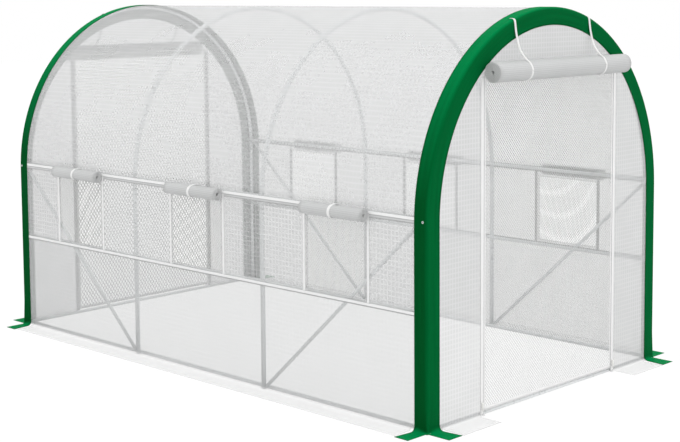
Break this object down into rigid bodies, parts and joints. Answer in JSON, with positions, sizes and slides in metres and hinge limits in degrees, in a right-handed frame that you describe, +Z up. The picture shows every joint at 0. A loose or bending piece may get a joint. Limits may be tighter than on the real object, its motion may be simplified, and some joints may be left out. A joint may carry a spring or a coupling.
{
  "type": "tunnel greenhouse",
  "caption": "Walk-in tunnel greenhouse of steel hoops and rails under a translucent net-reinforced cover, with roll-up doors and windows over insect nets.",
  "frame": {"origin": "on the ground, at the centre of the footprint", "axes": "+Z up, +X along the tunnel towards the front door, +Y across it towards the right wall"},
  "size_m": [3.6394, 2.22, 2],
  "materials": {
    "steel": "powder coated",
    "cover": "translucent coated net cloth",
    "rolled_cloth": "coated net cloth, several layers",
    "green_trim": "woven tape cloth",
    "netting": "fine insect net",
    "webbing": "woven tape",
    "nylon": "moulded"
  },
  "bodies": {
    "frame": {"hoop_1_left_leg": "steel", "hoop_1_right_leg": "steel", "hoop_1_arch": "steel", "hoop_2_left_leg": "steel", "hoop_2_right_leg": "steel", "hoop_2_arch": "steel", "hoop_3_left_leg": "steel", "hoop_3_right_leg": "steel", "hoop_3_arch": "steel", "hoop_4_left_leg": "steel", "hoop_4_right_leg": "steel", "hoop_4_arch": "steel", "left_base_rail": "steel", "left_lower_rail": "steel", "left_upper_rail": "steel", "right_base_rail": "steel", "right_lower_rail": "steel", "right_upper_rail": "steel", "roof_cover": "cover", "left_wall_cover": "cover", "right_wall_cover": "cover", "front_sill": "steel", "front_end_cover": "cover", "front_trim": "green_trim", "left_front_brace": "steel", "front_left_tie": "webbing", "right_front_brace": "steel", "front_right_tie": "webbing", "rear_sill": "steel", "rear_end_cover": "cover", "rear_trim": "green_trim", "left_rear_brace": "steel", "rear_left_tie": "webbing", "right_rear_brace": "steel", "rear_right_tie": "webbing", "left_front_window_net": "netting", "left_middle_window_net": "netting", "left_rear_window_net": "netting", "right_front_window_net": "netting", "right_middle_window_net": "netting", "right_rear_window_net": "netting"},
    "front_mesh_door": {"front_mesh_door": "netting"},
    "front_door_roll": {"front_door_roll": "rolled_cloth"},
    "front_left_zip_slider": {"front_left_zip_slider": "nylon"},
    "front_right_zip_slider": {"front_right_zip_slider": "nylon"},
    "rear_mesh_door": {"rear_mesh_door": "netting"},
    "rear_door_roll": {"rear_door_roll": "rolled_cloth"},
    "rear_left_zip_slider": {"rear_left_zip_slider": "nylon"},
    "rear_right_zip_slider": {"rear_right_zip_slider": "nylon"},
    "left_front_window_roll": {"left_front_window_roll": "rolled_cloth"},
    "left_middle_window_roll": {"left_middle_window_roll": "rolled_cloth"},
    "left_rear_window_roll": {"left_rear_window_roll": "rolled_cloth"},
    "right_front_window_roll": {"right_front_window_roll": "rolled_cloth"},
    "right_middle_window_roll": {"right_middle_window_roll": "rolled_cloth"},
    "right_rear_window_roll": {"right_rear_window_roll": "rolled_cloth"}
  },
  "joints": [
    {"name": "front_mesh_door_swing", "type": "hinge", "parent": "frame", "child": "front_mesh_door", "pos_m": [1.68195, 0, 1.68851], "axis": [0, 1, 0], "range_deg": [0, 75]},
    {"name": "front_door_roll_drop", "type": "slide", "parent": "frame", "child": "front_door_roll", "axis": [0, 0, -1], "range_m": [0, 1.6]},
    {"name": "front_left_zip_slider_travel", "type": "slide", "parent": "frame", "child": "front_left_zip_slider", "axis": [0, 0, 1], "range_m": [0, 1.58]},
    {"name": "front_right_zip_slider_travel", "type": "slide", "parent": "frame", "child": "front_right_zip_slider", "axis": [0, 0, 1], "range_m": [0, 1.58]},
    {"name": "rear_mesh_door_swing", "type": "hinge", "parent": "frame", "child": "rear_mesh_door", "pos_m": [-1.68195, 0, 1.68851], "axis": [0, -1, 0], "range_deg": [0, 75]},
    {"name": "rear_door_roll_drop", "type": "slide", "parent": "frame", "child": "rear_door_roll", "axis": [0, 0, -1], "range_m": [0, 1.6]},
    {"name": "rear_left_zip_slider_travel", "type": "slide", "parent": "frame", "child": "rear_left_zip_slider", "axis": [0, 0, 1], "range_m": [0, 1.58]},
    {"name": "rear_right_zip_slider_travel", "type": "slide", "parent": "frame", "child": "rear_right_zip_slider", "axis": [0, 0, 1], "range_m": [0, 1.58]},
    {"name": "left_front_window_roll_drop", "type": "slide", "parent": "frame", "child": "left_front_window_roll", "axis": [0, 0, -1], "range_m": [0, 0.42]},
    {"name": "left_middle_window_roll_drop", "type": "slide", "parent": "frame", "child": "left_middle_window_roll", "axis": [0, 0, -1], "range_m": [0, 0.42]},
    {"name": "left_rear_window_roll_drop", "type": "slide", "parent": "frame", "child": "left_rear_window_roll", "axis": [0, 0, -1], "range_m": [0, 0.42]},
    {"name": "right_front_window_roll_drop", "type": "slide", "parent": "frame", "child": "right_front_window_roll", "axis": [0, 0, -1], "range_m": [0, 0.42]},
    {"name": "right_middle_window_roll_drop", "type": "slide", "parent": "frame", "child": "right_middle_window_roll", "axis": [0, 0, -1], "range_m": [0, 0.42]},
    {"name": "right_rear_window_roll_drop", "type": "slide", "parent": "frame", "child": "right_rear_window_roll", "axis": [0, 0, -1], "range_m": [0, 0.42]}
  ]
}
